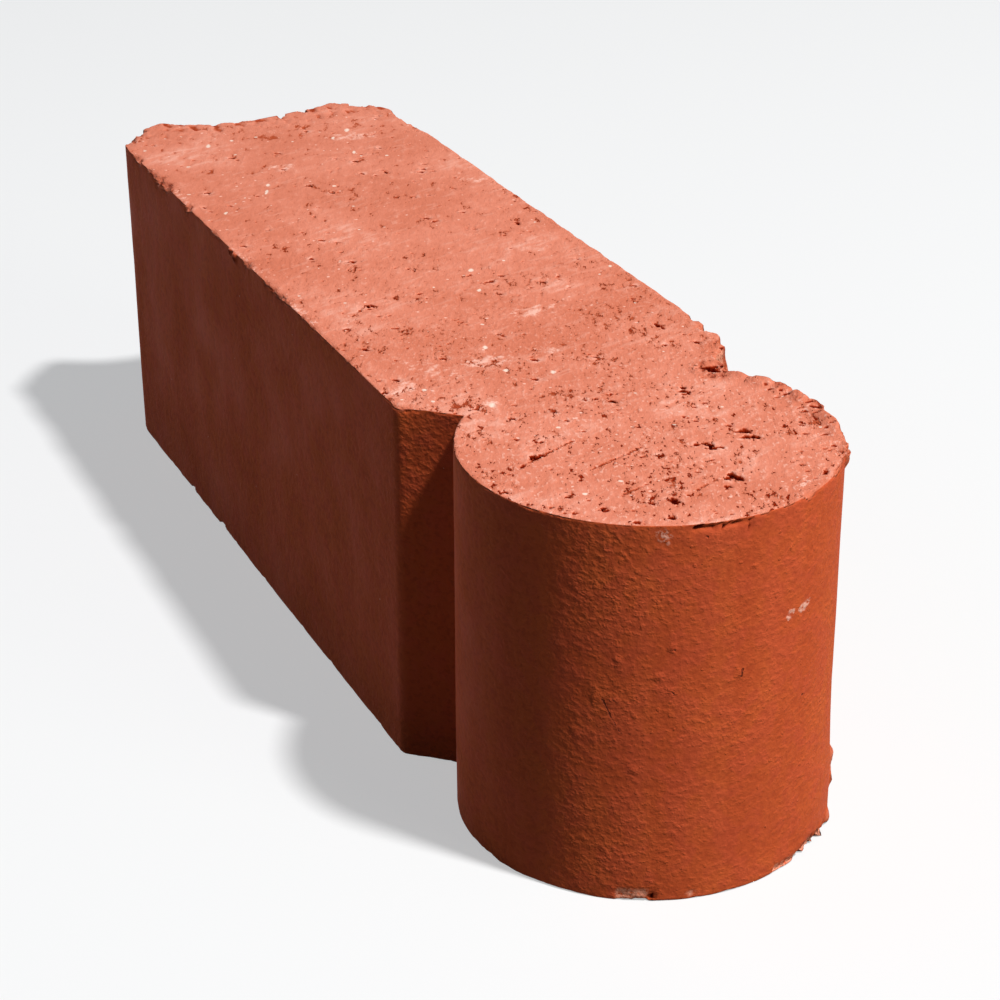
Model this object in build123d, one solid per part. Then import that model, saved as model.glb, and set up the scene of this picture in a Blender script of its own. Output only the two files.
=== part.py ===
"""Clay edging brick, extruded and wire-cut in one piece.

Bricks laid end to end nest: the round head of each one turns in the shallow socket of the next.
Row frame: +X runs along the brick towards the round head, +Y across it, +Z up.
The origin is under the middle of the brick, on the bed face that it rests on.
Every edge of the plan runs straight up, because the clay leaves the die along Z and a wire cuts it to height.
"""

from build123d import *

import os
from math import sqrt

# Driving dimensions, in millimetres
LENGTH = 207.0  # over all, from the round head to the horns beside the socket
WIDTH = 57.0  # across the two flat sides
HEIGHT = 60.0  # between the two wire-cut faces
HEAD_DIAMETER = 56.0
NECK_WIDTH = 41.0  # where the shoulders run into the head
SHOULDER_SETBACK = 26.5  # from the head's axis back to the shoulder corners
SHOULDER_RADIUS = 6.0  # rounding of the shoulder corners
NECK_ROOT_RADIUS = 0.8  # in the two notches between shoulder and head
JOINT_GAP = 1.0  # between the socket and the next brick's head
HORN_SPACING = 35.0  # between the axes of the two horns' rounded tips
HORN_TIP_RADIUS = 2.0
CORNER_RADIUS = 16.0  # from the flat sides round to the horns
ARRIS_RADIUS = 0.5  # slight rounding where the cut faces meet the die skin

# Places along the brick that follow from them
head_radius = HEAD_DIAMETER / 2
half_width = WIDTH / 2
half_neck = NECK_WIDTH / 2
head_x = LENGTH / 2 - head_radius
shoulder_x = head_x - SHOULDER_SETBACK
neck_x = head_x - sqrt(head_radius**2 - half_neck**2)

# The socket's arc and the corner arcs run into the rounded horn tips
horn_x = HORN_TIP_RADIUS - LENGTH / 2
horn_y = HORN_SPACING / 2
socket_radius = head_radius + JOINT_GAP
socket_x = horn_x - sqrt((socket_radius + HORN_TIP_RADIUS) ** 2 - horn_y**2)
corner_y = half_width - CORNER_RADIUS
corner_x = horn_x + sqrt((CORNER_RADIUS - HORN_TIP_RADIUS) ** 2 - (horn_y - corner_y) ** 2)
block_end_x = corner_x - CORNER_RADIUS

NEAR = 0.01  # how close a corner point lies to the line that picks it


def points_at_x(outline, x):
    """The outline's corner points on the line across the brick at x."""
    return outline.vertices().filter_by_position(Axis.X, x - NEAR, x + NEAR)


def body_outline():
    """The block with its shoulders drawn in to the neck and its far corners rounded."""
    side = [(block_end_x, half_width), (shoulder_x, half_width), (neck_x, half_neck)]
    other_side = [(x, -y) for x, y in reversed(side)]
    outline = make_face(Polyline(*side, *other_side, close=True))
    outline = fillet(points_at_x(outline, block_end_x), CORNER_RADIUS)
    return fillet(points_at_x(outline, shoulder_x), SHOULDER_RADIUS)


def plan_outline():
    """The die's whole opening: body and round head, less the socket."""
    outline = body_outline() + Pos(head_x, 0) * Circle(head_radius)
    outline = fillet(points_at_x(outline, neck_x), NECK_ROOT_RADIUS)
    outline -= Pos(socket_x, 0) * Circle(socket_radius)
    horn_tips = outline.vertices().group_by(Axis.X)[0]
    return fillet(horn_tips, HORN_TIP_RADIUS)


def edging_brick():
    """The outline extruded to the cut height, with its sharp arrises just broken."""
    brick = extrude(plan_outline(), HEIGHT)
    cut_faces = brick.faces().filter_by(Axis.Z)
    return fillet(cut_faces.edges(), ARRIS_RADIUS)


os.makedirs("parts", exist_ok=True)
export_step(edging_brick(), "parts/edging_brick.step")
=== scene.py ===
"""Looks of the clay edging brick: pitted wire-cut faces, leathery die skin and crumbled arrises.

The brick is one mesh. Its plan comes from the brick's own arcs, and its faces are meshed finely where the
wire tore the clay. One geometry node tree presses in the pits, breaks the arrises and roughens the skin.
"""

from math import atan2, ceil, cos, pi, radians, sin, sqrt, tan

import bpy
import numpy as np
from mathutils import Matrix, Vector, kdtree
from mathutils.geometry import delaunay_2d_cdt


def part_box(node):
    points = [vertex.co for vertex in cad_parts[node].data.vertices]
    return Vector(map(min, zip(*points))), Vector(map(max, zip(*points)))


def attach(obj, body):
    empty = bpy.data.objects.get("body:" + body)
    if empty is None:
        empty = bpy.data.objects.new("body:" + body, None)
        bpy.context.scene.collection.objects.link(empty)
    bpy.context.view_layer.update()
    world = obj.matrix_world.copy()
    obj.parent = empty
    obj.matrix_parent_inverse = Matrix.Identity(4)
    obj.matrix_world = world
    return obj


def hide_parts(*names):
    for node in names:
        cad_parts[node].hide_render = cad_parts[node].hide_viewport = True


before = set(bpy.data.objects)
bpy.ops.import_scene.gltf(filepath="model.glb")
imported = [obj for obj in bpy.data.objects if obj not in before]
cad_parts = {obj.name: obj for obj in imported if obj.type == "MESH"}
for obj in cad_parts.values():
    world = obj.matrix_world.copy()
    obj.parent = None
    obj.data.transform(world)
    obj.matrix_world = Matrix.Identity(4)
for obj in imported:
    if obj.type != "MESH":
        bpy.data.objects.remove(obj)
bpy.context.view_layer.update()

low, high = (np.array(corner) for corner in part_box("edging_brick"))
MM = 0.001

# Plan of the brick, in metres, as the die gives it
LENGTH, WIDTH, HEIGHT = high - low
HEAD_RADIUS = 28 * MM
NECK_HALF = 20.5 * MM
SHOULDER_SETBACK = 26.5 * MM
SHOULDER_RADIUS = 2.5 * MM  # crisper than the solid's, as the photograph shows it
SOCKET_RADIUS = 29 * MM
HORN_HALF = 17.5 * MM
HORN_TIP_RADIUS = 2 * MM
CORNER_RADIUS = 16 * MM
HEAD_X = LENGTH / 2 - HEAD_RADIUS
TOP = HEIGHT

# Heights of the two cut faces in millimetres, for the places of marks
FOOT, CROWN = 0, HEIGHT / MM

# Mesh spacing: on the top it is finest over the pits, and finer beside the rim than elsewhere
RIM_STEP = 0.5 * MM
COARSE_STEP = 0.8 * MM
NEAR_RIM_STEP = 0.38 * MM
FINE_STEP = 0.21 * MM
BED_STEP = 1.6 * MM
SIDE_STEP = 3.2 * MM
FOOT_ROWS = [d * MM for d in (0, 0.28, 0.6, 1.0, 1.6, 2.3, 3.2, 4.2, 5.3, 6.5, 7.8, 9.2, 11)]
CROWN_ROWS = [d * MM for d in (0, 0.28, 0.6, 1.0, 1.6, 2.4, 3.6)]

# How far the finer mesh and the wear reach from the arris
NEAR_RIM = 1.9 * MM
RIM_REACH = 6 * MM

# Where the top is torn further in: the far end, and the back of the head
FAR_TEAR = -88 * MM
HEAD_BACK_X, HEAD_BACK_Y = 62 * MM, 20 * MM

# Wire-cut face: the wire ran across the brick, a little askew. Flecks are drawn out more along the brick
WIRE_HEADING = radians(-69)
FLECK_HEADING = radians(-24)
STRAY_PITS = 330
SEED = 7

# Heights and depths of the relief
GRAIN_HEIGHT = 0.07 * MM
LIP_HEIGHT = 0.2 * MM
RIB_DEPTH = 0.4 * MM
SKIN_HEIGHT = 0.1 * MM
SKIN_SWAY = 0.4 * MM
FOOT_SWELL = 0.6 * MM
FACET_HEIGHT = 0.8 * MM
SMEAR, WEAR, FLARE = 2.1 * MM, 1.25 * MM, 0.4 * MM

# The plainest torn places on top: x and y from the head's axis, length, width and heading,
# in millimetres and degrees
GOUGES = [
    (2.9, 14.3, 2.8, 1.9, 75), (5, 13.9, 2.4, 1.6, 75), (5, 7, 3, 1.9, 50),
    (15.9, 5, 2.6, 2, 40), (18.6, 2.8, 2.6, 1, -40), (19.4, -5.9, 1.6, 1.3, 0),
    (18, -16.1, 1.7, 1.2, 70), (17.1, -20, 1.8, 1, 30), (-1.2, -17.1, 1.8, 1.4, -60),
    (0.8, -20.2, 2, 0.9, -50), (-6, -14.8, 1.3, 1, 0), (-8.1, -16.8, 1.1, 0.8, 0),
    (-4.8, 8.5, 1.1, 0.9, 0), (-13.7, 13.3, 3.6, 1.3, -35), (-17, 2.2, 3.6, 0.8, -80),
    (-20.2, 19, 3, 1.9, 16), (-18.6, 19.4, 2.4, 1.7, 16), (-30.2, 24.5, 2.2, 1.3, 60),
    (-0.8, 27, 2.2, 1, -10), (7.5, 21.6, 1.4, 1, 50), (13.6, 22, 2.2, 1, 10),
    (19.8, 17.6, 1.8, 0.9, -45), (-68.2, 5.2, 2.9, 1.2, 85), (-72.7, 3.9, 2, 0.8, -35),
    (-65.9, 17, 2.2, 0.9, -15), (-51.1, 23.8, 2.3, 1, 0), (-39, 22, 2.3, 1.5, 0),
    (-67.5, -6.9, 4.4, 0.8, 10), (-53.4, -6.1, 3.8, 0.8, 15), (-45.9, -2.3, 1.7, 0.9, -20),
    (-87.4, -12, 2, 1.4, 70), (-66.3, -16.5, 2.6, 1.5, -30), (-55.5, -16.5, 1.5, 0.9, 60),
    (-49.2, -24.4, 1.8, 1.1, 30), (-93.4, 22, 2.2, 1.3, 0), (-100.9, 9.3, 1.8, 1, -30),
    (-131, 12, 2.2, 1, 0), (-150, -3, 2.4, 1, -20),
]

# Pits just inside the rim at the back of the head, in degrees from its front towards +Y
RIM_PITS = (61, 69, 74, 76, 86, 89, 92, 103, 106, 109, 112)

# Straight drag marks of the wire: x and y of both ends from the head's axis, in millimetres
DRAG_MARKS = [
    (0.8, -20.6, -4.6, -9.4), (14.9, -11.7, 13.3, -6.9), (17.8, -1.7, 15.6, 2.8), (5.8, -12.1, 1.8, -2.2),
    (-62.6, -21.4, -67, -17.1),
]
DRAG_WIDTH = 0.7

# Pale scum on top: x and y of both ends and width, in millimetres. The runs at y near -28 follow the near
# long arris: pale crushed clay, partly a painted highlight where its burr catches the light
SCUM_AND_RIM_HIGHLIGHT = [
    (34, -20, 42, -16, 3), (39, -12, 38.4, -5.8, 3.4), (22.8, 3, 22, 10.6, 3), (38, 0, 38.8, 2.8, 2.2),
    (45, -27, 41.6, -22.6, 2.4), (50.4, 2, 46.3, 5.5, 1), (-44, 22, -43, 27, 2.6),
    (-68, -7, -66, -3, 2.4), (-80, 9, -78, 18, 3.6), (52.7, -15.1, 55.4, -15.4, 1.8),
    (98.2, 10.5, 96, 15, 1.4), (-62, -27.8, -50, -27.8, 1.2), (-30, -28, -12, -28, 1),
    (2, -28, 14, -28, 1),
]
SCUM_SPREAD = 1.6  # times the width, because only part of each stroke shows

# White specks in the top: x and y, length along the brick and width, in millimetres
WHITE_SPECKS = [
    (-84.8, -13.6, 2, 1.2), (-79.4, 10.3, 1.6, 0.9), (-57, -11, 1.6, 0.9), (-53.3, -12.6, 2.6, 0.8),
    (-45.1, -23.2, 1.4, 0.9), (-83.2, 14.7, 2, 1.2), (-69.1, 10.8, 1.6, 0.9), (0.6, 5, 1.3, 1.2),
    (10, 2.4, 1, 1.1), (33.4, -6.9, 1, 1.1), (43.3, -7.8, 0.9, 1), (47, -1.6, 1, 1.2),
    (54.7, -15.2, 1, 1.4), (8.8, 27.2, 1, 0.9), (59.2, 23.8, 0.9, 1.2), (57.3, 20.6, 0.9, 1.1),
]

# Crust that the wire dragged up behind the head: degrees from its front and height, in millimetres
CRUST = [
    (62, 0), (69, 0.6), (76, 0.7), (82.5, 0.7), (88, 0.2), (92.5, 0.35), (97, 1.1), (101, 1), (104, 0.2),
    (107.5, 0.8), (110.5, 0.7), (113.5, 1), (116.5, 1.1), (119.5, 0.5), (122, 0.8), (125, 0.6), (130, 0),
]
CRUST_CREST, CRUST_REACH = 0.4 * MM, 3.6 * MM

# The notch that the wire smeared clay into, and the worn shoulder beside it
NOTCH = (56.4 * MM, 20.5 * MM, TOP)
SHOULDER = (50 * MM, 27.6 * MM, TOP)

# Marks on the head's skin: degrees from its front and height of both ends, and width, in millimetres
CRACKS = [
    (-39.4, 33, -38.2, 32, 0.5), (-38.2, 32, -36.4, 30, 0.4), (-36.4, 30, -33.6, 27.6, 0.2),
    (1.4, 36.8, 1.3, 34.8, 0.45), (-24.1, -0.2, -24.3, 1.5, 0.4),
]
SCRATCHES = [(17, 42.3, 20.2, 43, 1.6), (22.2, 42.6, 27, 43.2, 1.8)]
SMEARS = [(-24.2, 59, -21.4, 57.6, 2.4)]

# Round marks on the head's skin: degrees from its front, height and radius, in millimetres
MOUNDS = [
    (-40.8, 33.1, 1.6), (0.6, 35.8, 1.1), (-19.6, 34.6, 0.9), (-19.4, 41.4, 1), (-34.8, 39.2, 1.1),
    (-23.4, 36.9, 1), (4, 52.2, 0.9), (-47, 27, 1.4), (-52, 40, 1.4), (-30, 22, 1.2),
]
PIPS = [(25.9, 28.4, 0.3), (-19.3, 34.3, 0.3), (-10.8, 58, 0.25), (-12.2, 53.9, 0.2), (-19.2, 41, 0.22)]

# Camera, fitted to the photograph
CAMERA_PLACE = Vector((0.3601, -0.1504, 0.2041))
CAMERA_AIM = Vector((0.0276, -0.0019, 0.030))
CAMERA_ROLL = radians(-0.3)
CAMERA_LENS = 88.5

# Light: a soft key lamp high to the right of the head, a low fill beside it, a weak one from behind,
# and a dim sky. Lamps: azimuth and height in degrees, distance and size in metres, level and colour
SKY_COLOUR = (0.5, 0.7, 1.0, 1)
SKY_LEVEL = 0.046
LAMPS = {
    "key_lamp": (32, 61, 2.4, 0.2, 1.2, (1, 1, 1)),
    "fill_lamp": (28, 14, 1.6, 0.7, 0.21, (0.95, 1.0, 0.8)),
    "back_lamp": (-130, 22, 1.6, 1.2, 0.082, SKY_COLOUR[:3]),
}
FLOOR_NEAR, FLOOR_FAR, FLOOR_REACH = 0.6, 3.0, 4.0
FLOOR_SHOWN = (0.43, 0.43, 0.43, 1)
FLOOR_GLOW = 0.46
FLOOR_BOUNCE = (0.10, 0.10, 0.10, 1)

# Clay colours
CUT_DARK, CUT_LIGHT = (0.64, 0.181, 0.104, 1), (0.735, 0.236, 0.148, 1)
SKIN_DARK, SKIN_LIGHT = (0.56, 0.084, 0.021, 1), (0.66, 0.115, 0.028, 1)
# SKIN_SHADE is painted shade for the hollows of the leathery bumps
SKIN_RED, SKIN_SHADE = (0.59, 0.08, 0.032, 1), (0.36, 0.042, 0.011, 1)
FRESH_CLAY = (0.64, 0.165, 0.088, 1)
# The paler clay that flakes bare, lightened further as a painted highlight on their facets
FLAKE_PINK_AND_HIGHLIGHT = (0.86, 0.34, 0.22, 1)
# Painted shade for torn flecks, tears, pits, cracks, dents and crevices, from their edges to their darkest
# middles
TEAR_HALF_SHADE = (0.47, 0.085, 0.034, 1)
TEAR_SHADE = (0.25, 0.018, 0.004, 1)
PIT_SHADE = (0.07, 0.002, 0.0004, 1)
SCUM_PALE = (0.95, 0.53, 0.42, 1)
SPECK_PALE = (0.9, 0.7, 0.58, 1)


# Plan outline


def arc(centre, radius, start, end):
    """Points along an arc from start to end, in radians, without the last one."""
    count = max(2, ceil(abs(end - start) * radius / RIM_STEP))
    turns = np.linspace(start, end, count, endpoint=False)
    return np.stack([centre[0] + radius * np.cos(turns), centre[1] + radius * np.sin(turns)], 1)


def line(start, end):
    """Points along a straight run, without the last one."""
    start, end = np.array(start), np.array(end)
    count = max(2, ceil(np.linalg.norm(end - start) / RIM_STEP))
    return start + np.linspace(0, 1, count, endpoint=False)[:, None] * (end - start)


def plan_outline():
    """The plan's rim, anticlockwise from the front of the head, and its outward directions."""
    half_width = WIDTH / 2
    neck_turn = pi - atan2(NECK_HALF, sqrt(HEAD_RADIUS**2 - NECK_HALF**2))
    neck = np.array([HEAD_X + HEAD_RADIUS * cos(neck_turn), NECK_HALF])
    shoulder = np.array([HEAD_X - SHOULDER_SETBACK, half_width])
    slope = (shoulder - neck) / np.linalg.norm(shoulder - neck)
    facing = atan2(-slope[0], slope[1])
    setback = SHOULDER_RADIUS * tan((pi / 2 - facing) / 2)
    shoulder_axis = shoulder - [setback, SHOULDER_RADIUS]

    horn = np.array([HORN_TIP_RADIUS - LENGTH / 2, HORN_HALF])
    socket_x = horn[0] - sqrt((SOCKET_RADIUS + HORN_TIP_RADIUS) ** 2 - HORN_HALF**2)
    corner_y = half_width - CORNER_RADIUS
    corner_x = horn[0] + sqrt((CORNER_RADIUS - HORN_TIP_RADIUS) ** 2 - (HORN_HALF - corner_y) ** 2)
    corner_end = atan2(HORN_HALF - corner_y, horn[0] - corner_x)
    socket_turn = atan2(HORN_HALF, horn[0] - socket_x)

    half = np.concatenate([
        arc((HEAD_X, 0), HEAD_RADIUS, 0, neck_turn),
        line(neck, shoulder - slope * setback),
        arc(shoulder_axis, SHOULDER_RADIUS, facing, pi / 2),
        line(shoulder_axis + [0, SHOULDER_RADIUS], (corner_x, half_width)),
        arc((corner_x, corner_y), CORNER_RADIUS, pi / 2, corner_end),
        arc(horn, HORN_TIP_RADIUS, corner_end, pi + socket_turn),
        arc((socket_x, 0), SOCKET_RADIUS, socket_turn, 0),
    ])
    socket_floor = [[socket_x + SOCKET_RADIUS, 0]]
    rim = np.concatenate([half, socket_floor, half[:0:-1] * [1, -1]])
    along = np.roll(rim, -1, 0) - np.roll(rim, 1, 0)
    out = np.stack([along[:, 1], -along[:, 0]], 1)
    return rim, out / np.linalg.norm(out, axis=1, keepdims=True)


rim, rim_out = plan_outline()
rim_tree = kdtree.KDTree(len(rim))
for number, (x, y) in enumerate(rim):
    rim_tree.insert((x, y, 0), number)
rim_tree.balance()


def nearest_rim(points):
    """For plan points: the nearest rim point's number, and how far inside the rim they lie."""
    found = np.array([rim_tree.find((x, y, 0))[1] for x, y in points], int)
    return found, -((points - rim[found]) * rim_out[found]).sum(1)


# Pits that the wire tore


def towards(turn):
    """A direction in plan, by degrees from +X."""
    return np.array([cos(radians(turn)), sin(radians(turn))])


def pit_places():
    """Centre, radius and depth of each pit, in gouges, along drag marks, beside the rim and astray."""
    chance = np.random.default_rng(SEED)
    pits = []
    for x, y, length, width, heading in GOUGES:
        run = towards(heading)
        across = np.array([-run[1], run[0]])
        for _ in range(ceil(1.7 * length * width) + 2):
            along, aside = chance.normal(0, 0.27, 2)
            radius = chance.uniform(0.2, 0.46) * min(width, 1.7)
            place = np.array([x, y]) + run * along * length + across * aside * width
            pits.append((*place, radius, radius * chance.uniform(0.9, 1.6)))
    for x, y, end_x, end_y in DRAG_MARKS:
        run = np.array([end_x - x, end_y - y])
        for share in np.arange(0, 1, 0.5 / np.linalg.norm(run)):
            radius = chance.uniform(0.12, 0.34)
            place = np.array([x, y]) + run * share + chance.normal(0, 0.1, 2)
            pits.append((*place, radius, radius * 0.9))
    for turn in RIM_PITS:
        place = chance.uniform(25.2, 27.0) * towards(turn)
        radius = chance.uniform(0.3, 0.7)
        pits.append((*place, radius, radius * chance.uniform(0.7, 1.3)))
    # Strays lie all over the top, more of them towards the head
    for _ in range(STRAY_PITS):
        place = np.array([28 - 206 * chance.random() ** 1.25, chance.uniform(-28, 28)])
        radius = 0.24 + 0.5 * chance.random() ** 3
        taken = np.array(pits)
        apart = np.linalg.norm(taken[:, :2] - place, axis=1)
        if np.all(apart > 1.1 * (taken[:, 2] + radius)):
            pits.append((*place, radius, radius * chance.uniform(0.7, 1.3)))
    pits = np.array(pits) * MM
    pits[:, 0] += HEAD_X
    inside = nearest_rim(pits[:, :2])[1]
    return pits[inside > 0.4 * MM]


pits = pit_places()


# Base mesh


def lattice(step):
    """A triangular lattice of plan points over the whole brick."""
    rows = np.arange(-WIDTH / 2, WIDTH / 2, step * sqrt(3) / 2)
    columns = np.arange(-LENGTH / 2, LENGTH / 2, step)
    points = []
    for row, y in enumerate(rows):
        shift = (row % 2) * step / 2
        points.append(np.stack([columns + shift, np.full(len(columns), y)], 1))
    return np.concatenate(points)


def near_pits(points):
    """Which plan points lie on a pit or just beside it."""
    cell = FINE_STEP
    start = np.array([-LENGTH, -WIDTH])
    torn = np.zeros(np.ceil(-2 * start / cell).astype(int) + 1, bool)
    for x, y, radius, _ in pits:
        reach = ceil((radius * 1.5 + 0.1 * MM) / cell)
        i, j = np.rint((np.array([x, y]) - start) / cell).astype(int)
        across = np.arange(-reach, reach + 1)
        disc = across[:, None] ** 2 + across**2 <= reach**2
        torn[i - reach:i + reach + 1, j - reach:j + reach + 1] |= disc
    i, j = np.rint((points - start) / cell).astype(int).T
    return torn[i, j]


def cap_triangles(inner):
    """Triangles over the plan, through rim and inner points, as plan points and corner numbers."""
    loop = [(i, (i + 1) % len(rim)) for i in range(len(rim))]
    points = [Vector(p) for p in np.concatenate([rim, inner]).tolist()]
    flat, _, faces, *_ = delaunay_2d_cdt(points, loop, [], 1, 1e-7)
    return np.array([tuple(p) for p in flat]), faces


def near_torn_rim(points):
    """Which plan points lie beside the rim, or further in at the far end and the back of the head."""
    x, y = points.T
    head_back = (x > HEAD_BACK_X) & (y > HEAD_BACK_Y)
    return (nearest_rim(points)[1] < NEAR_RIM) | (x < FAR_TEAR) | head_back


def top_points():
    """Plan points of the top: finest where it is torn, fine beside the rim, coarse elsewhere."""
    fine = lattice(FINE_STEP)
    fine = fine[near_pits(fine)]
    coarse, beside = lattice(COARSE_STEP), lattice(NEAR_RIM_STEP)
    coarse, beside = coarse[~near_pits(coarse)], beside[~near_pits(beside)]
    coarse, beside = coarse[~near_torn_rim(coarse)], beside[near_torn_rim(beside)]
    points = np.concatenate([coarse, beside, fine])
    return points[nearest_rim(points)[1] > 0.2 * MM]


def bed_points():
    """Plan points of the bed, which is out of sight and coarse."""
    points = lattice(BED_STEP)
    return points[nearest_rim(points)[1] > 0.5 * MM]


def side_heights():
    """Heights of the mesh rows up the die skin, close together near both arrises."""
    first, last = FOOT_ROWS[-1], TOP - CROWN_ROWS[-1]
    middle = np.linspace(first, last, ceil((last - first) / SIDE_STEP) + 1)
    return np.concatenate([FOOT_ROWS[:-1], middle, TOP - np.array(CROWN_ROWS[-2::-1])])


def brick_blank():
    """The plain brick as a fine closed mesh, with what the relief needs to know stored on its points."""
    count = len(rim)
    heights = side_heights()
    places = [np.column_stack([rim, np.full(count, z)]) for z in heights]
    faces = []
    for row in range(len(heights) - 1):
        start = row * count
        for i in range(count):
            j = (i + 1) % count
            faces.append((start + i, start + j, start + count + j, start + count + i))
    skin_faces = len(faces)
    last_row = (len(heights) - 1) * count
    for inner, z, rim_start, outwards in ((top_points(), TOP, last_row, 1), (bed_points(), 0.0, 0, -1)):
        flat, triangles = cap_triangles(inner)
        first_inner = sum(len(p) for p in places) - count
        number = np.where(np.arange(len(flat)) < count, rim_start, first_inner) + np.arange(len(flat))
        places.append(np.column_stack([flat[count:], np.full(len(flat) - count, z)]))
        faces += [tuple(int(number[corner]) for corner in triangle[::outwards]) for triangle in triangles]
    mesh = bpy.data.meshes.new("edging_brick_clay")
    points = np.concatenate(places)
    mesh.from_pydata(points.tolist(), [], faces)
    store_guides(mesh, points, len(heights), skin_faces)
    return mesh


def store_guides(mesh, points, rows, skin_faces):
    """Stores, for each point, the arris beside it, which way face and arris look, and the crust there."""
    count = len(rim)
    on_skin = np.arange(len(points)) < rows * count
    nearest, inside = nearest_rim(points[:, :2])
    nearest[on_skin] = np.arange(rows * count) % count
    upper = points[:, 2] > TOP / 2
    arris = np.column_stack([rim[nearest], np.where(upper, TOP, 0.0)])
    updown = np.where(upper, 1.0, -1.0)
    look = np.column_stack([rim_out[nearest], updown]) / sqrt(2)
    away = np.linalg.norm(points - arris, axis=1)
    look[away > RIM_REACH] = 0
    at_arris = on_skin & ((points[:, 2] == 0) | (points[:, 2] == TOP))
    cut_face = np.zeros_like(points)
    cut_face[~on_skin, 2] = updown[~on_skin]
    plan_out = np.column_stack([rim_out[nearest], np.zeros(len(points))])
    skin_face = plan_out.copy()
    skin_face[~on_skin | at_arris] = 0
    plan_out[~on_skin & (inside > RIM_REACH / 2)] = 0
    guides = {
        "arris": arris, "arris_out": look, "cut_out": cut_face, "skin_out": skin_face, "plan_out": plan_out,
    }
    for name, values in guides.items():
        mesh.attributes.new(name, "FLOAT_VECTOR", "POINT").data.foreach_set("vector", values.ravel())
    crust = np.where(upper, crust_height(arris, away), 0.0)
    mesh.attributes.new("crust", "FLOAT", "POINT").data.foreach_set("value", crust)
    skin = np.arange(len(mesh.polygons)) < skin_faces
    mesh.attributes.new("die_skin", "BOOLEAN", "FACE").data.foreach_set("value", skin)


def crust_height(arris, away):
    """How high the wire dragged up the clay, by the nearest place on the arris and the way from it."""
    turns, heights = np.array(CRUST).T
    turn = np.degrees(np.arctan2(arris[:, 1], arris[:, 0] - HEAD_X))
    share = np.clip((CRUST_REACH - away) / (CRUST_REACH - CRUST_CREST), 0, 1)
    return np.interp(turn, turns, heights, 0, 0) * MM * share**2 * (3 - 2 * share)


# Node trees


class Graph:
    """A node tree under construction: each call adds a node and returns one of its outputs."""

    def __init__(self, tree):
        self.tree = tree

    def node(self, kind, inputs=None, out=0, **settings):
        made = self.tree.nodes.new(kind)
        for name, value in settings.items():
            setattr(made, name, value)
        self.fill(made, inputs or {})
        return made.outputs[out]

    def fill(self, node, inputs):
        """Links values to a node's inputs, or sets them there if they are constants."""
        for name, value in inputs.items():
            if isinstance(value, bpy.types.NodeSocket):
                self.tree.links.new(value, node.inputs[name])
            else:
                node.inputs[name].default_value = value

    def math(self, operation, *values):
        return self.node("ShaderNodeMath", dict(enumerate(values)), operation=operation)

    def fold(self, operation, values):
        """All of the values taken together, two at a time."""
        result = values[0]
        for value in values[1:]:
            result = self.math(operation, result, value)
        return result

    def add(self, *values):
        return self.fold("ADD", values)

    def sub(self, a, b):
        return self.math("SUBTRACT", a, b)

    def mul(self, *values):
        return self.fold("MULTIPLY", values)

    def most(self, *values):
        return self.fold("MAXIMUM", values)

    def vector(self, operation, *values, out=0):
        return self.node("ShaderNodeVectorMath", dict(enumerate(values)), out, operation=operation)

    def scaled(self, vector, factor):
        return self.node("ShaderNodeVectorMath", {0: vector, "Scale": factor}, operation="SCALE")

    def dot(self, a, b):
        return self.vector("DOT_PRODUCT", a, b, out="Value")

    def apart(self, a, b):
        return self.vector("DISTANCE", a, b, out="Value")

    def parts(self, vector):
        """The vector's x, y and z."""
        return self.node("ShaderNodeSeparateXYZ", {0: vector}).node.outputs

    def smooth(self, value, start, end):
        """0 before start, 1 after end, and an S-curve between them. Start may be the larger."""
        inputs = {0: value, 1: start, 2: end, 3: 0.0, 4: 1.0}
        return self.node("ShaderNodeMapRange", inputs, interpolation_type="SMOOTHSTEP")

    def ramp(self, length, start, end):
        """The same for a length, with start and end in millimetres."""
        return self.smooth(length, start * MM, end * MM)

    def spread(self, value, start, end, to_start, to_end):
        """Value's way from start to end, spread evenly over to_start to to_end and kept between them."""
        return self.node("ShaderNodeMapRange", {0: value, 1: start, 2: end, 3: to_start, 4: to_end})

    def noise(self, place, size, detail=2.0, roughness=0.5, out="Fac"):
        """Noise from 0 to 1 whose lumps are about size across, in millimetres."""
        inputs = {"Vector": place, "Scale": 0.5 / (size * MM), "Detail": detail, "Roughness": roughness}
        return self.node("ShaderNodeTexNoise", inputs, out)

    def cells(self, place, size):
        """Distance to the middle of the nearest cell, as a share of the cells' size in millimetres."""
        return self.node("ShaderNodeTexVoronoi", {"Vector": place, "Scale": 1 / (size * MM)}, "Distance")

    def mixed(self, factor, a, b):
        """Colour a turned towards colour b by factor."""
        return self.node("ShaderNodeMix", {"Factor": factor, 6: a, 7: b}, 2, data_type="RGBA")


def new_tree(name, kind, inputs, outputs):
    """A tree with named inputs and outputs: its graph, given values, results and the inputs' sockets."""
    tree = bpy.data.node_groups.new(name, kind)
    sockets = {}
    for label, value in inputs.items():
        socket_type = value if isinstance(value, str) else "NodeSocketFloat"
        sockets[label] = tree.interface.new_socket(label, in_out="INPUT", socket_type=socket_type)
        if not isinstance(value, str):
            sockets[label].default_value = value
    for label, socket_type in outputs.items():
        tree.interface.new_socket(label, in_out="OUTPUT", socket_type=socket_type)
    given = tree.nodes.new("NodeGroupInput").outputs
    results = tree.nodes.new("NodeGroupOutput")
    return Graph(tree), given, results, sockets


# Places on the brick


def on_head(turn, z):
    """A place on the head's skin, by degrees from its front and height in millimetres."""
    x, y = HEAD_RADIUS * towards(turn)
    return (HEAD_X + x, y, z * MM)


def on_rim(x, y, z):
    """The place on the skin nearest to a plan place, in millimetres from the origin."""
    nearest = np.linalg.norm(rim - np.array([x, y]) * MM, axis=1).argmin()
    return (*rim[nearest], z * MM)


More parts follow.
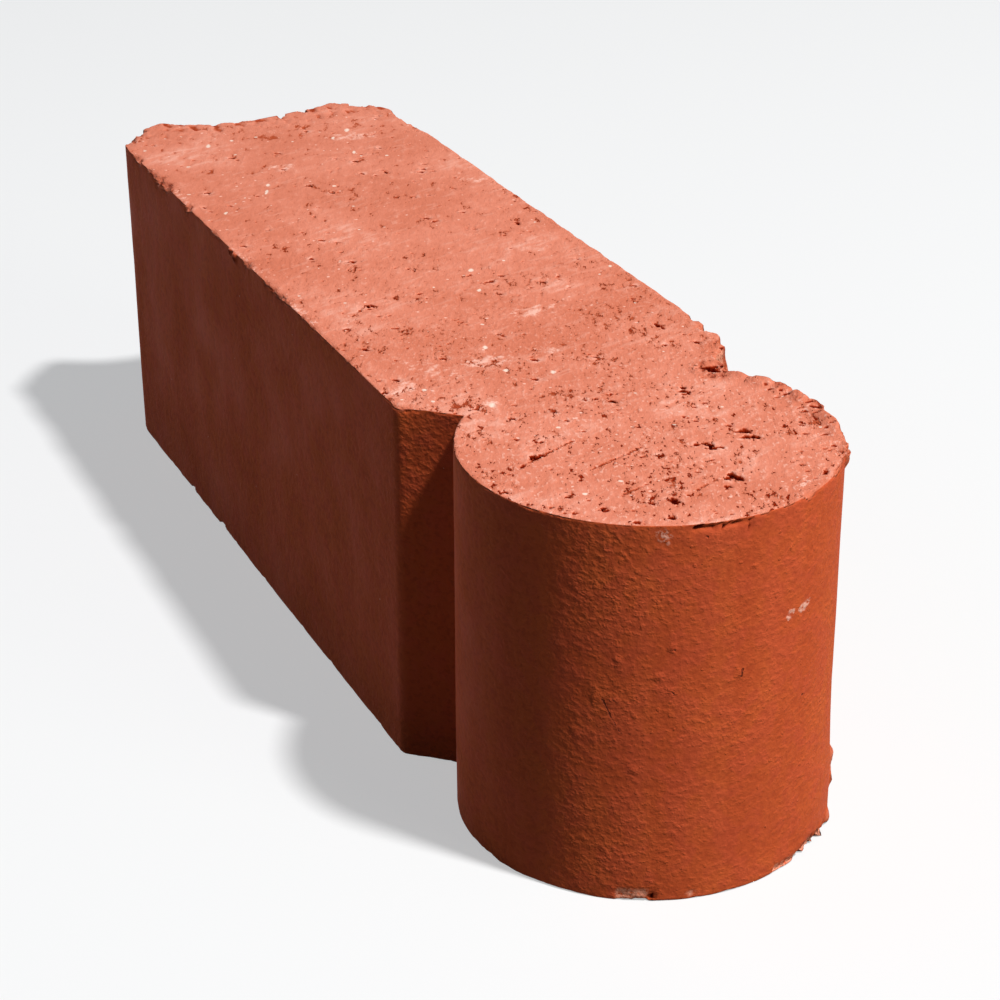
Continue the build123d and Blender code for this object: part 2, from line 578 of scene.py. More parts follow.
def on_side(x, z, side=-1):
    """A place on a flat side, by millimetres from the origin."""
    return (x * MM, side * WIDTH / 2, z * MM)


def on_top(x, y):
    """A place on the top, by millimetres from the origin."""
    return (x * MM, y * MM, TOP)


def by_head(x, y):
    """A place on the top, by millimetres from the head's axis."""
    return (HEAD_X + x * MM, y * MM, TOP)


def sized(place, marks):
    """Marks as place, radius and depth in metres. Place takes all but their last two numbers."""
    return [(place(*where), radius * MM, depth * MM) for *where, radius, depth in marks]


def in_scene(name, data):
    """A new object in the scene."""
    made = bpy.data.objects.new(name, data)
    bpy.context.scene.collection.objects.link(made)
    return made


# Damage


def chip_places():
    """Chips that show plainly: place on the arris, half length along it and depth."""
    long_edges = [
        (-83, CROWN, 3.2, 0.8), (-73, CROWN, 2.2, 0.5), (-52, CROWN, 2.2, 0.8), (-18, CROWN, 1.8, 0.7),
        (9, CROWN, 1.4, 0.5), (-59, FOOT, 1.4, 0.6), (-41, FOOT, 2, 0.7), (-85, CROWN, 1, 9, 0.9),
        (36, CROWN, 1, 1.6, 0.6), (41, CROWN, 1, 2.6, 1.1), (46.5, CROWN, 1, 2, 0.9),
    ]
    head = [
        (7, CROWN, 1.1, 0.4), (16, CROWN, 1.5, 0.35), (25, CROWN, 1.2, 0.45), (71, CROWN, 2, 0.6),
        (-31.6, FOOT, 1.5, 0.3), (-27.4, FOOT, 1.7, 0.4), (29, FOOT, 1.6, 0.7), (35, FOOT, 1.4, 0.9),
        (40.5, FOOT, 1.5, 0.8),
    ]
    corners = [
        (-100, 23.4, CROWN, 2.6, 1.5), (-100, -23.4, CROWN, 2.8, 1.4), (-99, 6.3, CROWN, 0.9, 1.3),
        (-100, 11, CROWN, 0.9, 1.4), (51.8, 26, CROWN, 4, 0.6), (49.4, -28, CROWN, 2.8, 0.55),
    ]
    return sized(on_side, long_edges) + sized(on_head, head) + sized(on_rim, corners)


def burr_places():
    """Burrs and crumbs that stand out from the skin: place, radius and height."""
    head = [
        (57, CROWN - 0.6, 1.7, 0.8), (62, CROWN - 0.3, 1.1, 0.4), (91, CROWN, 2.2, 0.5),
        (107, CROWN - 0.2, 2.4, 0.5), (66, 7.4, 2.2, 0.8), (62, 4.6, 1.3, 0.6), (51, 1, 1.7, 0.5),
        (43, 0.7, 1.6, 0.4),
    ]
    side = [(-51.5, CROWN - 1, 0.9, 0.3), (-24.5, CROWN - 0.9, 1.3, 0.55), (-27, CROWN - 0.5, 0.9, 0.4)]
    return sized(on_head, head) + sized(on_side, side)


def dent_places():
    """Gaps under the head's front rim, in the notch and at the head's foot: place, radius and depth."""
    chance = np.random.default_rng(SEED)
    head = [(2.2, CROWN - 1.4, 0.6, 0.6)] + [(-24, z, 0.42, 0.7) for z in (0.1, 0.6, 1.1)]
    for turn in np.arange(-14.0, 3.0, 0.9):
        z = CROWN - chance.uniform(0.35, 0.9)
        head.append((turn, z, chance.uniform(0.3, 0.6), chance.uniform(0.25, 0.6)))
    for turn in np.arange(31, 47, 2.5):
        head.append((turn, chance.uniform(0.6, 1.9), chance.uniform(0.5, 0.85), 0.7))
    notch = [(56.2, 20.8, z, 1.2, 0.7) for z in (59.4, 58.2, 57.0)]
    return sized(on_head, head) + sized(on_rim, notch)


def spall_places():
    """Thin flakes gone from the skin at the head's foot and beside the notch: place, radius and depth."""
    chance = np.random.default_rng(SEED + 1)
    head = [(-12.3, 1.0, 0.7, 0.2), (56, 5.8, 1.6, 0.3)]
    for turn in np.arange(-33.0, -25.0, 1.6):
        head.append((turn, chance.uniform(0.7, 1.4), 1.1, 0.24))
    for turn in np.arange(18, 46, 2.4):
        head.append((turn, chance.uniform(0.3, 0.9), chance.uniform(0.7, 1.2), 0.5))
    beside_notch = ((50.8, 27), (52.8, 24.7), (54.6, 22.6))
    notch = [(x, y, z, 3.2, 0.14) for x, y in beside_notch for z in (58.5, 54.5)]
    return sized(on_head, head) + sized(on_rim, notch)


def points_object(name, points):
    """Loose points that carry a radius and a depth, for the relief tree to look up."""
    mesh = bpy.data.meshes.new(name)
    mesh.from_pydata([place for place, _, _ in points], [], [])
    for column, key in ((1, "radius"), (2, "depth")):
        mesh.attributes.new(key, "FLOAT", "POINT").data.foreach_set("value", [p[column] for p in points])
    return in_scene(name, mesh)


# Relief


def guide(g, name, kind="FLOAT_VECTOR"):
    """What the blank stores under a name."""
    return g.node("GeometryNodeInputNamedAttribute", {"Name": name}, data_type=kind)


def nearest_point(g, helper, place):
    """Of a helper object's point nearest to place: its own place, and its radius and depth."""
    points = g.node("GeometryNodeObjectInfo", {"Object": helper}, "Geometry")
    index = g.node("GeometryNodeSampleNearest", {"Geometry": points, "Sample Position": place})
    wanted = [(g.node("GeometryNodeInputPosition"), "FLOAT_VECTOR")]
    wanted += [(guide(g, name, "FLOAT"), "FLOAT") for name in ("radius", "depth")]
    found = []
    for value, kind in wanted:
        inputs = {"Geometry": points, "Value": value, "Index": index}
        found.append(g.node("GeometryNodeSampleIndex", inputs, data_type=kind))
    return found


def pit_field(g, helper, place, cut_out):
    """Depth of the nearest pit, the lip that the wire pushed up beside it, and how rough it is there."""
    ragged = g.vector("SUBTRACT", g.noise(place, 0.5, 2.0, 0.6, out="Color"), (0.5, 0.5, 0.5))
    warped = g.vector("ADD", place, g.vector("MULTIPLY", ragged, (0.7 * MM, 0.7 * MM, 0.0)))
    centre, radius, depth = nearest_point(g, helper, warped)
    from_centre = g.vector("SUBTRACT", warped, centre)
    distance = g.math("DIVIDE", g.vector("LENGTH", from_centre, out="Value"), radius)
    on_top = g.smooth(g.dot(cut_out, (0, 0, 1)), 0.4, 0.6)
    floor = g.spread(g.noise(place, 0.4), 0.3, 0.7, 0.6, 1.2)
    pit = g.mul(g.smooth(distance, 1.05, 0.6), depth, floor, on_top)
    downwire = g.dot(g.vector("NORMALIZE", from_centre), (cos(WIRE_HEADING), sin(WIRE_HEADING), 0))
    ring = g.mul(g.smooth(distance, 0.95, 1.15), g.smooth(distance, 1.8, 1.2))
    big = g.ramp(radius, 0.3, 0.55)
    lip = g.mul(ring, g.smooth(downwire, 0.0, 0.8), big, on_top)
    rough = g.mul(g.smooth(distance, 2.6, 1.0), big, on_top)
    return pit, lip, rough


def rib_field(g, place):
    """Depth of the ribs in the top where it is torn furthest in."""
    x, y, _ = g.parts(place)
    head_back = g.mul(
        g.smooth(x, HEAD_BACK_X, HEAD_BACK_X + 5 * MM), g.smooth(y, HEAD_BACK_Y, HEAD_BACK_Y + 5 * MM))
    torn_rim = g.most(g.smooth(x, FAR_TEAR, FAR_TEAR - 9 * MM), g.mul(head_back, 0.4))
    along_brick = g.vector("MULTIPLY", place, (0.45, 1.0, 1.0))
    return g.mul(g.smooth(g.noise(along_brick, 1.1, 2.0, 0.55), 0.48, 0.7), torn_rim, RIB_DEPTH)


def bump_field(g, helper, place):
    """How far the nearest burr stands out, or the nearest dent or flake goes in."""
    centre, radius, height = nearest_point(g, helper, place)
    distance = g.math("DIVIDE", g.apart(place, centre), radius)
    lumps = g.spread(g.noise(place, 0.7, 2.0, 0.6), 0.3, 0.7, 0.5, 1.3)
    return g.mul(g.smooth(distance, 1.0, 0.3), height, lumps)


def torn_share(g, arris):
    """How much of the wear each place on the arris has: little, but more along parts of the top."""
    x, y, z = g.parts(arris)
    far_end = g.mul(g.ramp(x, -62, -90), 0.6)
    along_side = g.mul(g.ramp(x, 58, 46), g.spread(x, -20 * MM, 5 * MM, 0.95, 0.3))
    near_side = g.mul(g.ramp(y, -18, -27), along_side)
    behind_head = g.mul(g.ramp(x, 84, 66), g.ramp(x, 40, 50))
    behind_head = g.mul(behind_head, g.ramp(y, 16, 22), 0.15)
    head_right = g.mul(g.ramp(x, 80, 92), g.ramp(y, -2, 6), 0.35)
    upper = g.smooth(z, TOP * 0.4, TOP * 0.6)
    return g.add(g.mul(g.most(far_end, near_side, behind_head, head_right), upper), 0.2)


def crumble_field(g, helper, arris, crumble):
    """How deep the arris is broken at each of its points: lobes with nicks between them, and chips."""
    centre, radius, chip_depth = nearest_point(g, helper, arris)
    distance = g.math("DIVIDE", g.apart(arris, centre), radius)
    small_lobes = g.smooth(g.cells(arris, 1.7), 0.1, 0.7)
    chip = g.mul(g.smooth(distance, 1.0, 0.5), chip_depth, g.spread(small_lobes, 0.0, 1.0, 0.55, 1.15))
    lobes = g.smooth(g.cells(arris, 4.2), 0.2, 0.75)
    runs = g.smooth(g.noise(arris, 7), 0.36, 0.62)
    bits = g.smooth(g.noise(arris, 1.0, 3.0, 0.65), 0.42, 0.8)
    wear = g.mul(g.add(g.mul(lobes, 0.9 * MM), g.mul(small_lobes, 0.3 * MM), g.mul(bits, 0.3 * MM)), runs)
    wear = g.add(g.mul(g.add(wear, g.mul(bits, 0.14 * MM)), torn_share(g, arris)), 0.06 * MM)
    return g.most(g.mul(wear, crumble), chip)


def broken_arris(g, given, place, moved, burr):
    """How far each point beside an arris is cut back, except on burrs, and where that puts it."""
    arris, arris_out = guide(g, "arris"), guide(g, "arris_out")
    beside = g.smooth(g.dot(arris_out, arris_out), 0.4, 0.6)
    depth = crumble_field(g, given["Chips"], arris, given["Crumble"])
    proud = g.dot(g.vector("SUBTRACT", moved, arris), arris_out)
    facets = g.mul(g.sub(g.noise(place, 0.9, 2.0, 0.6), 0.5), FACET_HEIGHT)
    cut_back = g.add(proud, depth, g.mul(facets, g.ramp(depth, 0.05, 0.5)))
    cut_back = g.mul(g.most(cut_back, 0.0), beside, g.ramp(burr, 0.3, 0.1))
    return cut_back, g.vector("SUBTRACT", moved, g.scaled(arris_out, cut_back))


def dragged_clay(g, place, plan_out):
    """What the wire dragged: how far towards +Y, how high, and how scuffed the clay is."""
    x, _, z = g.parts(place)
    smear = g.mul(g.ramp(g.apart(place, NOTCH), 5.5, 1.0), SMEAR)
    worn = g.mul(g.ramp(g.apart(place, SHOULDER), 6.5, 2.0), WEAR)
    facing = g.smooth(g.dot(plan_out, (0, 1, 0)), 0.8, 1.0)
    flare = g.mul(facing, g.spread(x, -80 * MM, 45 * MM, 0.0, FLARE), g.ramp(z, 46, 58))
    lumps = g.spread(g.noise(place, 0.9, 3.0, 0.6), 0.3, 0.7, 0.65, 1.15)
    crust = g.mul(guide(g, "crust", "FLOAT"), lumps)
    scuffed = g.mul(g.ramp(g.add(smear, worn), 0.3, 1.0), 0.85)
    return g.sub(g.add(smear, flare), worn), crust, scuffed


def relief_tree():
    """The tree that turns the plain blank into the brick: pits, grain, die skin and broken arrises."""
    points, material = "NodeSocketObject", "NodeSocketMaterial"
    inputs = {
        "Blank": "NodeSocketGeometry", "Pits": points, "Chips": points, "Burrs": points, "Dents": points,
        "Spalls": points, "Pit depth": 1.0, "Grain height": GRAIN_HEIGHT, "Skin height": SKIN_HEIGHT,
        "Crumble": 1.0, "Cut clay": material, "Skin clay": material,
    }
    g, given, results, sockets = new_tree(
        "brick_relief", "GeometryNodeTree", inputs, {"Brick": "NodeSocketGeometry"})
    place = g.node("GeometryNodeInputPosition")
    cut_out, skin_out, plan_out = guide(g, "cut_out"), guide(g, "skin_out"), guide(g, "plan_out")

    pit, lip, rough = pit_field(g, given["Pits"], place, cut_out)
    ribs = rib_field(g, place)
    grain = g.sub(g.noise(place, 0.8, 3.0, 0.6), 1.0)
    grain = g.mul(grain, given["Grain height"], g.spread(rough, 0.0, 1.0, 1.0, 3.5))
    cut_height = g.sub(g.add(grain, g.mul(lip, LIP_HEIGHT)), g.add(g.mul(pit, given["Pit depth"]), ribs))
    moved = g.vector("ADD", place, g.scaled(cut_out, cut_height))

    dent, spall = bump_field(g, given["Dents"], place), bump_field(g, given["Spalls"], place)
    bumps = g.sub(g.noise(g.vector("MULTIPLY", place, (1.0, 1.0, 1.4)), 3.0, 3.0, 0.55), 0.5)
    sway = g.sub(g.noise(place, 24, 1.0), 0.5)
    skin_height = g.add(g.mul(bumps, given["Skin height"]), g.mul(sway, SKIN_SWAY))
    moved = g.vector("ADD", moved, g.scaled(skin_out, g.sub(skin_height, g.add(dent, spall))))
    burr = bump_field(g, given["Burrs"], place)
    x, _, z = g.parts(place)
    facing = g.smooth(g.dot(plan_out, (0.4, 0.9, 0.0)), 0.6, 1.0)
    foot_swell = g.mul(facing, g.ramp(x, 60, 75), FOOT_SWELL, g.ramp(z, 24, 4))
    moved = g.vector("ADD", moved, g.scaled(plan_out, g.add(burr, foot_swell)))

    cut_back, moved = broken_arris(g, given, place, moved, burr)
    dragged, crust, scuffed = dragged_clay(g, place, plan_out)
    moved = g.vector("ADD", moved, g.node("ShaderNodeCombineXYZ", {"Y": dragged, "Z": crust}))

    broken = g.most(g.ramp(cut_back, 0.08, 0.35), g.ramp(burr, 0.1, 0.3))
    broken = g.most(broken, g.mul(g.ramp(crust, 0.15, 0.6), 0.4), scuffed)
    flaked = g.ramp(spall, 0.04, 0.12)
    # The pit mark tells the materials where to paint shade into pits, dents and ribs
    pit_mark = g.spread(g.most(pit, dent, g.mul(ribs, 0.5)), 0.06 * MM, 0.9 * MM, 0.0, 1.0)
    brick = given["Blank"]
    for name, value in (("broken", broken), ("flaked", flaked), ("pit", pit_mark), ("rough", rough)):
        brick = g.node("GeometryNodeStoreNamedAttribute", {"Geometry": brick, "Name": name, "Value": value})
    brick = g.node("GeometryNodeSetPosition", {"Geometry": brick, "Position": moved})
    brick = g.node("GeometryNodeSetShadeSmooth", {"Geometry": brick})
    brick = g.node("GeometryNodeRealizeInstances", {"Geometry": brick})
    brick = g.node("GeometryNodeSetMaterial", {"Geometry": brick, "Material": given["Cut clay"]})
    skin = {"Geometry": brick, "Selection": guide(g, "die_skin", "BOOLEAN"), "Material": given["Skin clay"]}
    g.fill(results, {"Brick": g.node("GeometryNodeSetMaterial", skin)})
    return g.tree, sockets


def clay_brick(cut_clay, skin_clay):
    """The finished brick as a plain mesh."""
    brick = in_scene("edging_brick_clay", brick_blank())
    placed = {
        "Pits": [((x, y, TOP), radius, depth) for x, y, radius, depth in pits], "Chips": chip_places(),
        "Burrs": burr_places(), "Dents": dent_places(), "Spalls": spall_places(),
    }
    helpers = {name: points_object(name, points) for name, points in placed.items()}
    tree, sockets = relief_tree()
    relief = brick.modifiers.new("relief", "NODES")
    relief.node_group = tree
    for name, value in {**helpers, "Cut clay": cut_clay, "Skin clay": skin_clay}.items():
        relief[sockets[name].identifier] = value
    seen = brick.evaluated_get(bpy.context.evaluated_depsgraph_get())
    finished = bpy.data.meshes.new_from_object(seen)
    brick.modifiers.remove(relief)
    brick.data = finished
    for helper in helpers.values():
        bpy.data.objects.remove(helper)
    return brick


# Materials


def speck_group():
    """Scattered specks, from 0 to 1. Sizes are shares of the spacing."""
    g, given, results, _ = new_tree(
        "scattered_specks", "ShaderNodeTree",
        {"Place": "NodeSocketVector", "Spacing": MM, "Share": 0.3, "Smallest": 0.1, "Largest": 0.3},
        {"Mask": "NodeSocketFloat"})
    per_metre = g.math("DIVIDE", 1.0, given["Spacing"])
    cell = g.node("ShaderNodeTexVoronoi", {"Vector": given["Place"], "Scale": per_metre}, "Distance").node
    rolls = g.node("ShaderNodeSeparateColor", {0: cell.outputs["Color"]}).node
    present = g.math("GREATER_THAN", rolls.outputs[0], g.sub(1.0, given["Share"]))
    size = g.math("POWER", rolls.outputs[1], 2.0)
    radius = g.node("ShaderNodeMapRange", {0: size, 3: given["Smallest"], 4: given["Largest"]})
    mask = g.smooth(cell.outputs["Distance"], radius, g.mul(radius, 0.5))
    g.fill(results, {"Mask": g.mul(mask, present)})
    return g.tree


def stroke_group():
    """A stroke between two places, from 0 to 1: where the way round by both of them is hardly a detour."""
    place = "NodeSocketVector"
    inputs = {"Place": place, "Start": place, "End": place, "Edge": MM, "Core": 0.0}
    g, given, results, _ = new_tree("tapered_stroke", "ShaderNodeTree", inputs, {"Mask": "NodeSocketFloat"})
    legs = [g.apart(given["Place"], given[end]) for end in ("Start", "End")]
    g.fill(results, {"Mask": g.smooth(g.add(*legs), given["Edge"], given["Core"])})
    return g.tree


def fresh_group():
    """Colour of clay bared by a break: pinkish, with painted shade in its crevices and pale grit."""
    g, given, results, _ = new_tree(
        "fresh_break", "ShaderNodeTree", {"Lumps": 0.5, "Grit": 0.5}, {"Colour": "NodeSocketColor"})
    # Painted shade in the crevices between the lumps
    colour = g.mixed(g.mul(g.smooth(given["Lumps"], 0.5, 0.34), 0.8), FRESH_CLAY, TEAR_SHADE)
    colour = g.mixed(g.mul(g.smooth(given["Grit"], 0.58, 0.7), 0.4), colour, SCUM_PALE)
    g.fill(results, {"Colour": colour})
    return g.tree


class Clay(Graph):
    """A clay material under construction."""

    def __init__(self, name, groups):
        self.material = bpy.data.materials.new(name)
        self.material.use_nodes = True
        super().__init__(self.material.node_tree)
        self.shader = self.tree.nodes["Principled BSDF"]
        self.place = self.node("ShaderNodeTexCoord", out="Object")
        waver = self.noise(self.place, 0.45, 2.0, 0.6, "Color")
        self.unrest = self.vector("SUBTRACT", waver, (0.5, 0.5, 0.5))
        self.groups = groups

    def mark(self, name):
        """A mark that the relief stored on the brick, from 0 to 1."""
        return self.node("ShaderNodeAttribute", out="Fac", attribute_name=name)

    def ragged(self, amount):
        """The place, pushed about by up to half the millimetres, for drawing with ragged edges."""
        return self.vector("MULTIPLY_ADD", self.unrest, (amount * MM,) * 3, self.place)

    def drawn_out(self, heading, length):
        """The place, for patterns drawn out along a heading to so many times their width."""
        inputs = {"Vector": self.place, "Rotation": (0, 0, heading), "Scale": (length, 1, 1)}
        return self.node("ShaderNodeMapping", inputs, vector_type="TEXTURE")

    def specks(self, place, spacing, share, smallest, largest):
        """Scattered specks, with their spacing in millimetres and their sizes as shares of it."""
        sizes = {"Smallest": smallest, "Largest": largest}
        inputs = {"Place": place, "Spacing": spacing * MM, "Share": share, **sizes}
        return self.node("ShaderNodeGroup", inputs, node_tree=self.groups["specks"])

    def strokes(self, place, runs):
        """All of the given strokes: start, end and width of each, in metres."""
        masks = []
        for start, end, width in runs:
            length = (Vector(end) - Vector(start)).length
            edge = sqrt(length**2 + width**2)
            inputs = {"Place": place, "Start": start, "End": end, "Edge": edge, "Core": length}
            masks.append(self.node("ShaderNodeGroup", inputs, node_tree=self.groups["stroke"]))
        return self.most(*masks)

    def fresh(self, lumps, grit):
        return self.node("ShaderNodeGroup", {"Lumps": lumps, "Grit": grit}, node_tree=self.groups["fresh"])

    def tint(self, tone, *shares):
        """Turns the colour so far towards tone, by the product of the shares."""
        self.colour = self.mixed(self.mul(*shares), self.colour, tone)

    def finish(self, height, roughness, sheen):
        """Joins the colour, a height in millimetres, roughness and sheen to the shader."""
        bump = self.node("ShaderNodeBump", {"Strength": 1.0, "Distance": MM, "Height": height})
        self.fill(self.shader, {
            "Base Color": self.colour, "Roughness": roughness, "Specular IOR Level": sheen, "Normal": bump,
        })
        return self.material


def runs_on(place, marks, widen=1.0):
    """Strokes in metres, from marks that give place its two numbers for both ends, and a width."""
    return [(place(a, b), place(c, d), widen * width * MM) for a, b, c, d, width in marks]


def dots_on(place, marks):
    """Round marks in metres, as strokes that end where they start."""
    return [(place(a, b), place(a, b), 2 * radius * MM) for a, b, radius in marks]


def white_runs():
    """The placed white specks as short strokes on the top, in metres."""
    along = Vector((cos(FLECK_HEADING), sin(FLECK_HEADING), 0))
    runs = []
    for x, y, length, width in WHITE_SPECKS:
        middle, half = Vector((x, y, CROWN)) * MM, along * length / 2 * MM
        runs.append((middle - half, middle + half, width * MM))
    return runs


def wire_cut_clay(groups):
    """Top and bed: salmon clay torn by the wire, with grit, scum and a painted highlight along the near
    long arris, and painted shade in its flecks, tears, drag marks and pits.
    """
    g = Clay("wire_cut_clay", groups)
    x = g.parts(g.place)[0]
    along_wire, along_brick = g.drawn_out(WIRE_HEADING, 3.5), g.drawn_out(FLECK_HEADING, 1.8)
    broad = g.noise(g.place, 9)
    swarm = g.noise(g.place, 4, 1.0)
    lumps = g.noise(along_brick, 1.0, 4.0, 0.66)
    fine = g.noise(along_brick, 0.34, 3.0, 0.62)
    streaks = g.noise(along_wire, 0.8, 2.0, 0.6)

    # The far half is calmer and hazier than the head, as the photograph shows it
    fleck_share = g.spread(x, -25 * MM, 70 * MM, 0.25, 1.0)
    fleck_share = g.mul(fleck_share, fleck_share)
    mark_share = g.spread(x, -80 * MM, 0.0, 0.55, 1.0)
    haze = g.spread(x, -90 * MM, 20 * MM, 0.05, 0.0)

    tone = g.add(g.mul(broad, 0.6), g.mul(lumps, 0.4))
    g.colour = g.mixed(g.smooth(tone, 0.38, 0.62), CUT_DARK, CUT_LIGHT)
    pale_flecks = g.mul(g.smooth(fine, 0.56, 0.68), fleck_share, 0.5)
    pale_streaks = g.mul(g.smooth(streaks, 0.56, 0.7), 0.16)
    pale_lumps = g.mul(g.smooth(lumps, 0.56, 0.7), 0.2)
    g.tint(SCUM_PALE, g.most(pale_flecks, pale_streaks, haze, pale_lumps))

    rough, pit, broken = g.mark("rough"), g.mark("pit"), g.mark("broken")
    # Pale scum; the runs along the near long arris are pale crushed clay and partly a painted highlight
    scum_and_rim_highlight = g.strokes(g.ragged(5), runs_on(on_top, SCUM_AND_RIM_HIGHLIGHT, SCUM_SPREAD))
    scum_and_rim_highlight = g.most(scum_and_rim_highlight, g.mul(g.smooth(broad, 0.56, 0.72), 0.4), g.mul(rough, 0.5))
    veil = g.smooth(g.add(g.mul(streaks, 0.5), g.mul(lumps, 0.5)), 0.44, 0.6)
    g.tint(SCUM_PALE, scum_and_rim_highlight, veil, 0.85)

    torn_end = g.spread(x, -74 * MM, -99 * MM, 0.0, 0.05)
    clusters = g.add(g.mul(g.sub(swarm, 0.5), 0.27), g.mul(rough, 0.06), torn_end)
    sunken = g.sub(g.add(g.mul(fine, 0.65), g.mul(lumps, 0.35)), g.mul(clusters, 0.75))
    flecks = g.mul(g.smooth(sunken, 0.41, 0.37), fleck_share)
    torn = g.smooth(g.sub(lumps, clusters), 0.38, 0.29)
    tears = g.mul(torn, mark_share, g.spread(x, 20 * MM, 70 * MM, 1.0, 0.55))
    drags = g.strokes(g.ragged(0.6), runs_on(by_head, [(*ends, DRAG_WIDTH) for ends in DRAG_MARKS]))
    drags = g.mul(drags, g.smooth(lumps, 0.58, 0.44), 0.8)
    hollows = g.most(flecks, tears, drags)
    pitted = g.smooth(pit, 0.0, 0.25)
    sunk = g.most(hollows, pitted)
    # Painted shade in the flecks, tears, drag marks and pits: half strength at their edges, full in their
    # middles
    g.tint(TEAR_HALF_SHADE, g.spread(sunk, 0.0, 0.5, 0.0, 1.0))
    g.tint(TEAR_SHADE, g.spread(sunk, 0.5, 1.0, 0.0, 1.0))
    # Painted shade, near black, in the deepest pits
    g.tint(PIT_SHADE, g.smooth(g.add(pit, g.mul(g.sub(lumps, 0.5), -0.8)), 0.2, 0.5))

    # Grit, white specks and bared clay leave the painted shade in the pits alone
    whole = g.sub(1.0, pitted)
    gritty = g.ragged(0.6)
    g.tint(SCUM_PALE, g.specks(gritty, 1.5, 0.45, 0.06, 0.24), whole, 0.9)
    white = g.most(g.specks(gritty, 3.2, 0.45, 0.04, 0.16), g.specks(gritty, 7, 0.55, 0.035, 0.095))
    white = g.most(white, g.strokes(gritty, white_runs()))
    g.tint(SPECK_PALE, white, whole, 0.9)
    g.tint(g.fresh(lumps, fine), broken, whole, 0.75)

    small = g.add(g.mul(fine, 0.17), g.mul(streaks, 0.08), g.mul(hollows, -0.2))
    height = g.add(g.mul(small, mark_share), g.mul(lumps, g.spread(broken, 0.0, 1.0, 0.28, 0.6)))
    return g.finish(height, g.spread(broad, 0.3, 0.7, 0.84, 0.95), 0.0)


def die_skin_clay(groups):
    """Sides: orange-brown die skin with leathery bumps, a few cracks and pale scratches, and painted shade
    in its hollows, cracks and dents.
    """
    g = Clay("die_skin_clay", groups)
    broad = g.noise(g.place, 7)
    swells = g.noise(g.place, 2.0)
    leather = g.noise(g.vector("MULTIPLY", g.place, (1.0, 1.0, 1.2)), 0.56, 2.0, 0.52)
    fine = g.noise(g.place, 0.25, 2.0, 0.55)
    drawn = g.noise(g.vector("MULTIPLY", g.place, (1.0, 1.0, 0.03)), 2.5)
    tone = g.add(g.mul(broad, 0.5), g.mul(swells, 0.25), g.mul(drawn, 0.25))
    g.colour = g.mixed(g.smooth(tone, 0.38, 0.62), SKIN_DARK, SKIN_LIGHT)
    g.tint(SKIN_RED, g.smooth(swells, 0.42, 0.62), 0.5)
    # Painted shade: darker in the hollows of the leathery bumps
    g.tint(SKIN_SHADE, g.smooth(g.add(leather, g.mul(fine, 0.4)), 0.72, 0.5), 0.35)

    ragged = g.ragged(0.5)
    pimples = g.specks(ragged, 2.2, 0.5, 0.06, 0.2)
    mounds = g.strokes(g.ragged(1.2), dots_on(on_head, MOUNDS))
    cracks = g.strokes(g.ragged(0.8), runs_on(on_head, CRACKS) + dots_on(on_head, PIPS))
    scratches = g.strokes(g.ragged(1.4), runs_on(on_head, SCRATCHES))
    scratches = g.mul(scratches, g.smooth(leather, 0.36, 0.56))
    smears = g.strokes(g.ragged(1.6), runs_on(on_head, SMEARS))
    smears = g.mul(smears, g.smooth(fine, 0.44, 0.62))
    grit = g.specks(ragged, 4.6, 0.3, 0.02, 0.05)
    pit, broken, flaked = g.mark("pit"), g.mark("broken"), g.mark("flaked")
    # Painted shade in the cracks
    g.tint(PIT_SHADE, cracks, 0.75)
    g.tint(SCUM_PALE, g.most(g.mul(scratches, 0.8), g.mul(g.most(smears, grit), 0.6)))
    g.tint(g.fresh(swells, fine), broken)
    # Flakes show the paler bared clay, partly a painted highlight on their facets
    g.tint(FLAKE_PINK_AND_HIGHLIGHT, flaked, g.smooth(fine, 0.3, 0.5), 0.9)
    # Painted shade in the dents and pits
    sunk = g.smooth(pit, 0.1, 0.5)
    g.tint(PIT_SHADE, sunk)

    peaks = g.smooth(leather, 0.5, 0.68)
    height = g.add(g.mul(leather, 0.1), g.mul(peaks, 0.028), g.mul(fine, 0.066))
    height = g.add(g.mul(height, g.spread(broad, 0.35, 0.65, 0.7, 1.3)), g.mul(swells, 0.13))
    height = g.add(height, g.mul(pimples, 0.06), g.mul(mounds, 0.12), g.mul(cracks, -0.25))
    height = g.add(height, g.mul(g.add(leather, swells), broken, 0.25))
    sheen = g.mul(g.sub(1.0, g.most(sunk, broken)), 0.2)
    return g.finish(height, g.spread(broad, 0.3, 0.7, 0.72, 0.88), sheen)


# Studio


def lamp(name, azimuth, height, distance, size, level, colour):
    """A round lamp that lights a white face turned to it at the given level."""
    light = bpy.data.lights.new(name, "AREA")
    light.shape = "DISK"
    light.size = size
    light.energy = level * pi * pi * distance**2
    light.color = colour
    azimuth, height = radians(azimuth), radians(height)
    direction = Vector((cos(height) * cos(azimuth), cos(height) * sin(azimuth), sin(height)))
    made = in_scene(name, light)
    made.location = Vector((0, 0, HEIGHT / 2)) + direction * distance
    made.rotation_euler = direction.to_track_quat("Z", "Y").to_euler()


def seen_directly(g):
    """1 for rays that show the background itself, 0 for those that only carry its light."""
    path = g.tree.nodes.new("ShaderNodeLightPath").outputs
    return g.most(path["Is Camera Ray"], path["Is Glossy Ray"], path["Is Transmission Ray"])


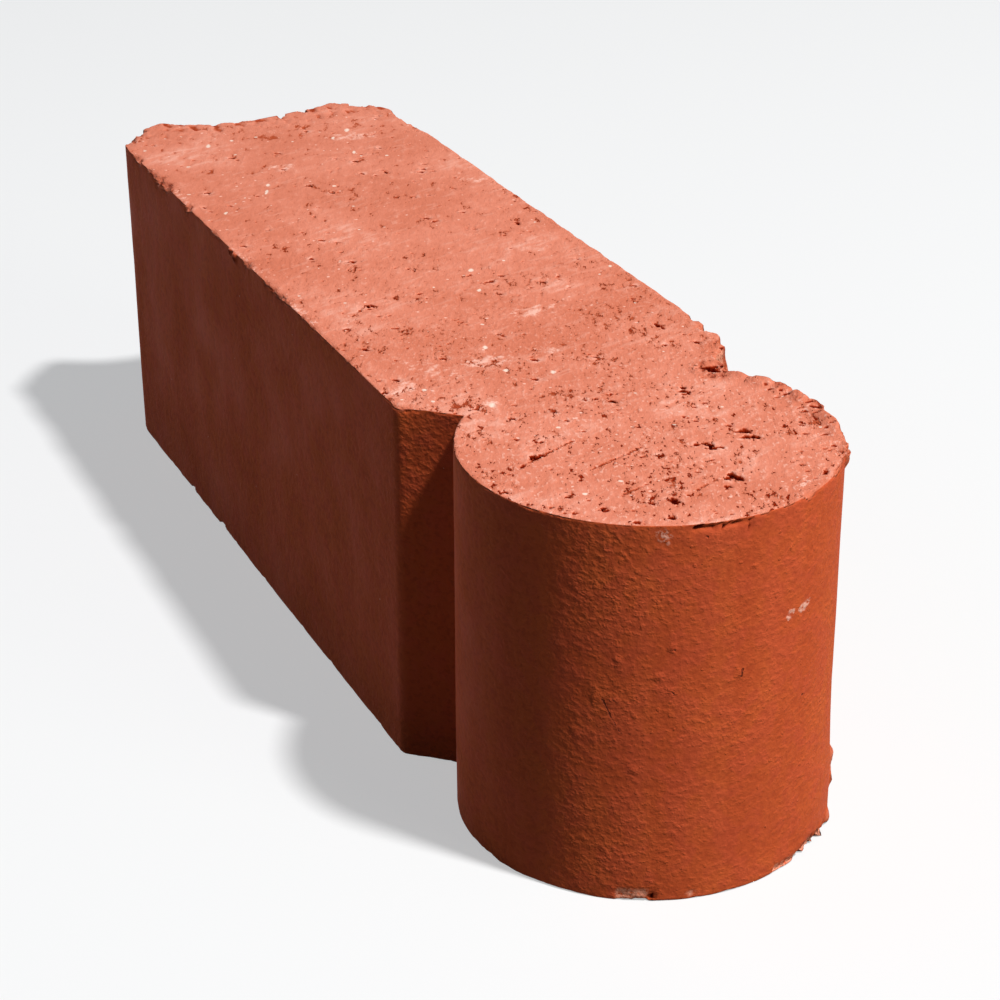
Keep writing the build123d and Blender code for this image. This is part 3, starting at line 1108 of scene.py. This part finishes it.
def studio_floor():
    """A wide floor that looks pale where it is seen, and throws little light back."""
    mesh = bpy.data.meshes.new("studio_floor")
    ends = (-FLOOR_REACH, FLOOR_REACH)
    mesh.from_pydata([(x, y, 0) for y in ends for x in ends], [], [(0, 1, 3, 2)])
    floor = in_scene("studio_floor", mesh)
    material = bpy.data.materials.new("studio_floor")
    material.use_nodes = True
    g = Graph(material.node_tree)
    shown = seen_directly(g)
    away = g.vector("LENGTH", g.node("ShaderNodeTexCoord", out="Object"), out="Value")
    glow = g.mul(shown, g.spread(away, FLOOR_NEAR, FLOOR_FAR, FLOOR_GLOW, 1.0))
    g.fill(material.node_tree.nodes["Principled BSDF"], {
        "Base Color": g.mixed(shown, FLOOR_BOUNCE, FLOOR_SHOWN), "Emission Strength": glow,
        "Emission Color": (1, 1, 1, 1), "Roughness": 0.9, "Specular IOR Level": 0.0,
    })
    mesh.materials.append(material)


def sky():
    """A background that looks white, and lights the brick as a dim blue sky."""
    world = bpy.data.worlds.new("studio_sky")
    world.use_nodes = True
    bpy.context.scene.world = world
    g = Graph(world.node_tree)
    shown = seen_directly(g)
    g.fill(world.node_tree.nodes["Background"], {
        "Color": g.mixed(shown, SKY_COLOUR, (1, 1, 1, 1)),
        "Strength": g.spread(shown, 0.0, 1.0, SKY_LEVEL, 1.0),
    })


def photo_camera():
    """The camera as fitted to the photograph."""
    data = bpy.data.cameras.new("photo_camera")
    data.sensor_fit = "HORIZONTAL"
    data.sensor_width = 36
    data.lens = CAMERA_LENS
    data.clip_start = 0.01
    camera = in_scene("photo_camera", data)
    camera.location = CAMERA_PLACE
    camera.rotation_euler = (CAMERA_AIM - CAMERA_PLACE).to_track_quat("-Z", "Y").to_euler()
    camera.rotation_euler.rotate_axis("Z", CAMERA_ROLL)
    bpy.context.scene.camera = camera


groups = {"specks": speck_group(), "stroke": stroke_group(), "fresh": fresh_group()}
brick = clay_brick(wire_cut_clay(groups), die_skin_clay(groups))
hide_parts("edging_brick")
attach(brick, "root")

studio_floor()
sky()
for name, settings in LAMPS.items():
    lamp(name, *settings)
photo_camera()
bpy.context.scene.view_settings.view_transform = "Standard"
